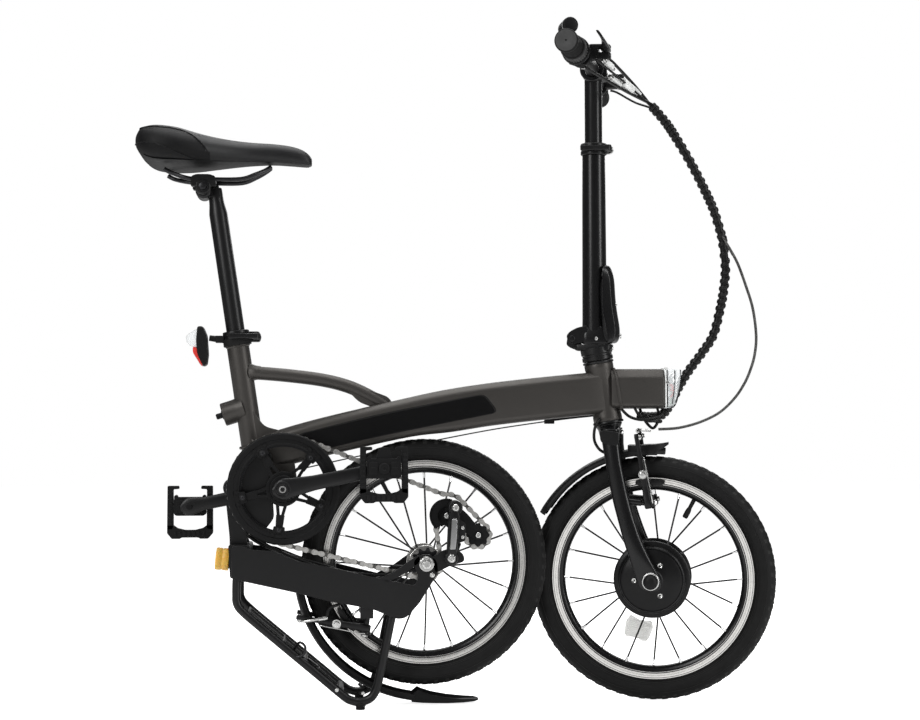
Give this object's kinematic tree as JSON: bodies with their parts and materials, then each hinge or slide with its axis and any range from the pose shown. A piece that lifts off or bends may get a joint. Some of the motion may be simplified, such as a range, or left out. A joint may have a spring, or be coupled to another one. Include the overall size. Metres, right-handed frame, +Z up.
{
  "type": "folding electric bicycle",
  "caption": "Small-wheeled folding electric bicycle stood half folded: rear wheel swung under a deep beam, rack feet and front tyre on the floor.",
  "frame": {"origin": "on the floor, below the middle of the whole standing object", "axes": "+X the riding direction, +Y the rider's left, +Z up; the chain is on the -Y side"},
  "size_m": [0.995, 0.5416, 1.0327],
  "materials": {
    "frame_paint": "satin metallic grey paint",
    "black_paint": "satin black powder coat",
    "black_plastic": "matte moulded black",
    "panel_plastic": "satin black cover",
    "clear_plastic": "clear moulded",
    "steel": "brushed",
    "bright_alloy": "machined",
    "hub_black": "satin black",
    "tyre_rubber": "matt tread",
    "grip_rubber": "ribbed matt",
    "saddle_cover": "stretch cover, satin",
    "elastomer": "translucent amber",
    "chain_steel": "bright plated"
  },
  "bodies": {
    "main_frame": {"main_frame": "frame_paint", "battery_pack": "black_plastic", "beam_panel": "panel_plastic", "headset": "black_paint", "headlight_housing": "black_plastic", "headlight_lens": "clear_plastic", "seat_clamp": "black_paint", "tail_light": "black_plastic", "bottom_bracket": "steel", "pivot_pin": "steel", "chain": "chain_steel", "cable_bundle": "black_plastic"},
    "seat_lever": {"seat_clamp_lever": "black_paint"},
    "seat": {"seatpost": "black_paint", "saddle_rails": "steel", "saddle": "saddle_cover"},
    "fork": {"fork": "black_paint", "front_axle": "steel", "front_fender": "black_plastic", "handlepost_base": "black_paint", "front_brake_cable": "black_plastic"},
    "front_arm_left": {"front_brake_arm_left": "black_paint"},
    "front_arm_right": {"front_brake_arm_right": "black_paint"},
    "front_wheel": {"front_tyre": "tyre_rubber", "front_rim": "bright_alloy", "front_hub_motor": "hub_black"},
    "handlepost": {"handlepost": "black_paint"},
    "post_latch": {"handlepost_latch": "black_plastic"},
    "height_lever": {"height_clamp_lever": "black_paint"},
    "handlebar": {"upper_post": "black_paint", "handlebar": "black_paint", "grip_left": "grip_rubber", "grip_right": "grip_rubber", "brake_bracket_left": "black_plastic", "brake_bracket_right": "black_plastic", "bell": "black_plastic"},
    "shifter": {"twist_shifter": "black_plastic"},
    "lever_left": {"brake_lever_left": "black_paint"},
    "lever_right": {"brake_lever_right": "black_paint"},
    "rear_frame": {"rear_frame": "black_paint", "elastomer": "elastomer", "rear_rack": "black_paint", "rear_fender": "black_plastic", "rear_axle": "steel", "derailleur_body": "black_paint"},
    "rear_arm_left": {"rear_brake_arm_left": "black_paint"},
    "rear_arm_right": {"rear_brake_arm_right": "black_paint"},
    "rear_wheel": {"rear_tyre": "tyre_rubber", "rear_rim": "bright_alloy", "rear_hub": "bright_alloy"},
    "cog": {"rear_cog": "steel"},
    "cage": {"derailleur_cage": "black_plastic"},
    "pulley": {"tension_pulley": "black_plastic"},
    "crankset": {"chainring": "black_plastic", "crank_right": "black_paint", "crank_left": "black_paint"},
    "pedal_right": {"pedal_bracket_right": "black_plastic"},
    "pedal_left": {"pedal_bracket_left": "black_plastic"},
    "pedal_fold_right": {"pedal_cage_right": "black_plastic"},
    "pedal_fold_left": {"pedal_cage_left": "black_plastic"}
  },
  "joints": [
    {"name": "rear_fold", "type": "hinge", "parent": "main_frame", "child": "rear_frame", "pos_m": [-0.3475, 0.0143, 0.3383], "axis": [0, 1, 0], "range_deg": [0, 156.5], "deforming": ["chain"]},
    {"name": "steering", "type": "hinge", "parent": "main_frame", "child": "fork", "pos_m": [0.234, 0.0143, 0.485], "axis": [-0.1599, 0, 0.9871], "range_deg": [-50, 0], "deforming": ["cable_bundle"]},
    {"name": "front_wheel_spin", "type": "hinge", "parent": "fork", "child": "front_wheel", "pos_m": [0.30966, 0.00734, 0.19236], "axis": [0.2388, 0.9703, 0.0387], "continuous": true},
    {"name": "rear_wheel_spin", "type": "hinge", "parent": "rear_frame", "child": "rear_wheel", "pos_m": [-0.0511, 0.0143, 0.2208], "axis": [0, 1, 0], "continuous": true},
    {"name": "crank_spin", "type": "hinge", "parent": "main_frame", "child": "crankset", "pos_m": [-0.2702, 0.0143, 0.3365], "axis": [0, 1, 0], "continuous": true},
    {"name": "cog_spin", "type": "hinge", "parent": "rear_frame", "child": "cog", "pos_m": [-0.0511, -0.0302, 0.2208], "axis": [0, 1, 0], "continuous": true},
    {"name": "pulley_spin", "type": "hinge", "parent": "cage", "child": "pulley", "pos_m": [0.029, -0.0302, 0.2635], "axis": [0, 1, 0], "continuous": true},
    {"name": "pedal_right_spin", "type": "hinge", "parent": "crankset", "child": "pedal_right", "pos_m": [-0.11733, -0.0837, 0.3676], "axis": [0, 1, 0], "continuous": true},
    {"name": "pedal_left_spin", "type": "hinge", "parent": "crankset", "child": "pedal_left", "pos_m": [-0.42307, 0.1123, 0.3054], "axis": [0, 1, 0], "continuous": true},
    {"name": "pedal_right_fold", "type": "hinge", "parent": "pedal_right", "child": "pedal_fold_right", "pos_m": [-0.11733, -0.0887, 0.3896], "axis": [-1, 0, 0], "range_deg": [0, 90]},
    {"name": "pedal_left_fold", "type": "hinge", "parent": "pedal_left", "child": "pedal_fold_left", "pos_m": [-0.42307, 0.1173, 0.3274], "axis": [1, 0, 0], "range_deg": [0, 90]},
    {"name": "handlepost_fold", "type": "hinge", "parent": "fork", "child": "handlepost", "pos_m": [0.18458, 0.02323, 0.56617], "axis": [0.2388, 0.9703, 0.0387], "range_deg": [-90, 0], "deforming": ["cable_bundle", "front_brake_cable"]},
    {"name": "latch_open", "type": "hinge", "parent": "handlepost", "child": "post_latch", "pos_m": [0.25451, 0.00613, 0.56334], "axis": [0.2388, 0.9703, 0.0387], "range_deg": [0, 60]},
    {"name": "height_lever_open", "type": "hinge", "parent": "handlepost", "child": "height_lever", "pos_m": [0.23857, -0.01866, 0.87004], "axis": [-0.0047, -0.0387, 0.9992], "range_deg": [0, 120]},
    {"name": "bar_height", "type": "slide", "parent": "handlepost", "child": "handlebar", "axis": [-0.0047, -0.0387, 0.9992], "range_m": [-0.09, 0], "deforming": ["cable_bundle", "front_brake_cable"]},
    {"name": "shifter_turn", "type": "hinge", "parent": "handlebar", "child": "shifter", "pos_m": [0.16177, -0.19611, 0.9869], "axis": [0.3014, 0.9527, 0.0383], "range_deg": [0, 90]},
    {"name": "brake_lever_left_pull", "type": "hinge", "parent": "handlebar", "child": "lever_left", "pos_m": [0.28071, 0.12419, 1.00787], "axis": [-0.0047, -0.0387, 0.9992], "range_deg": [0, 17], "stiffness_Nm_per_rad": 0.6, "springref_deg": -5.73},
    {"name": "brake_lever_right_pull", "type": "hinge", "parent": "handlebar", "child": "lever_right", "pos_m": [0.21479, -0.14361, 0.99719], "axis": [0.0047, 0.0387, -0.9992], "range_deg": [0, 17], "stiffness_Nm_per_rad": 0.6, "springref_deg": -5.73},
    {"name": "front_arm_left_close", "type": "hinge", "parent": "fork", "child": "front_arm_left", "pos_m": [0.30844, 0.04605, 0.31465], "axis": [0.9672, -0.2341, -0.0986], "range_deg": [0, 3.4]},
    {"name": "front_arm_right_close", "type": "hinge", "parent": "fork", "child": "front_arm_right", "pos_m": [0.28838, -0.03545, 0.3114], "axis": [-0.9672, 0.2341, 0.0986], "range_deg": [0, 3.4]},
    {"name": "rear_arm_left_close", "type": "hinge", "parent": "rear_frame", "child": "rear_arm_left", "pos_m": [-0.1435, 0.0563, 0.125], "axis": [-0.167, 0, -0.986], "range_deg": [0, 2.5]},
    {"name": "rear_arm_right_close", "type": "hinge", "parent": "rear_frame", "child": "rear_arm_right", "pos_m": [-0.1435, -0.0277, 0.125], "axis": [0.167, 0, 0.986], "range_deg": [0, 2.5]},
    {"name": "seat_height", "type": "slide", "parent": "main_frame", "child": "seat", "axis": [-0.1466, 0, 0.9892], "range_m": [-0.06, 0.04]},
    {"name": "seat_lever_open", "type": "hinge", "parent": "main_frame", "child": "seat_lever", "pos_m": [-0.3135, -0.0017, 0.573], "axis": [0, 0, 1], "range_deg": [0, 120]},
    {"name": "cage_swing", "type": "hinge", "parent": "rear_frame", "child": "cage", "pos_m": [-0.0075, -0.0307, 0.307], "axis": [0, 1, 0], "range_deg": [-20, 25], "stiffness_Nm_per_rad": 1, "deforming": ["chain"]}
  ],
  "couplings": [
    {"joint": "cog_spin", "follows": "crank_spin", "ratio": 3.6364},
    {"joint": "front_arm_left_close", "follows": "brake_lever_left_pull", "ratio": 0.2},
    {"joint": "front_arm_right_close", "follows": "brake_lever_left_pull", "ratio": 0.2},
    {"joint": "rear_arm_left_close", "follows": "brake_lever_right_pull", "ratio": 0.147},
    {"joint": "rear_arm_right_close", "follows": "brake_lever_right_pull", "ratio": 0.147}
  ]
}
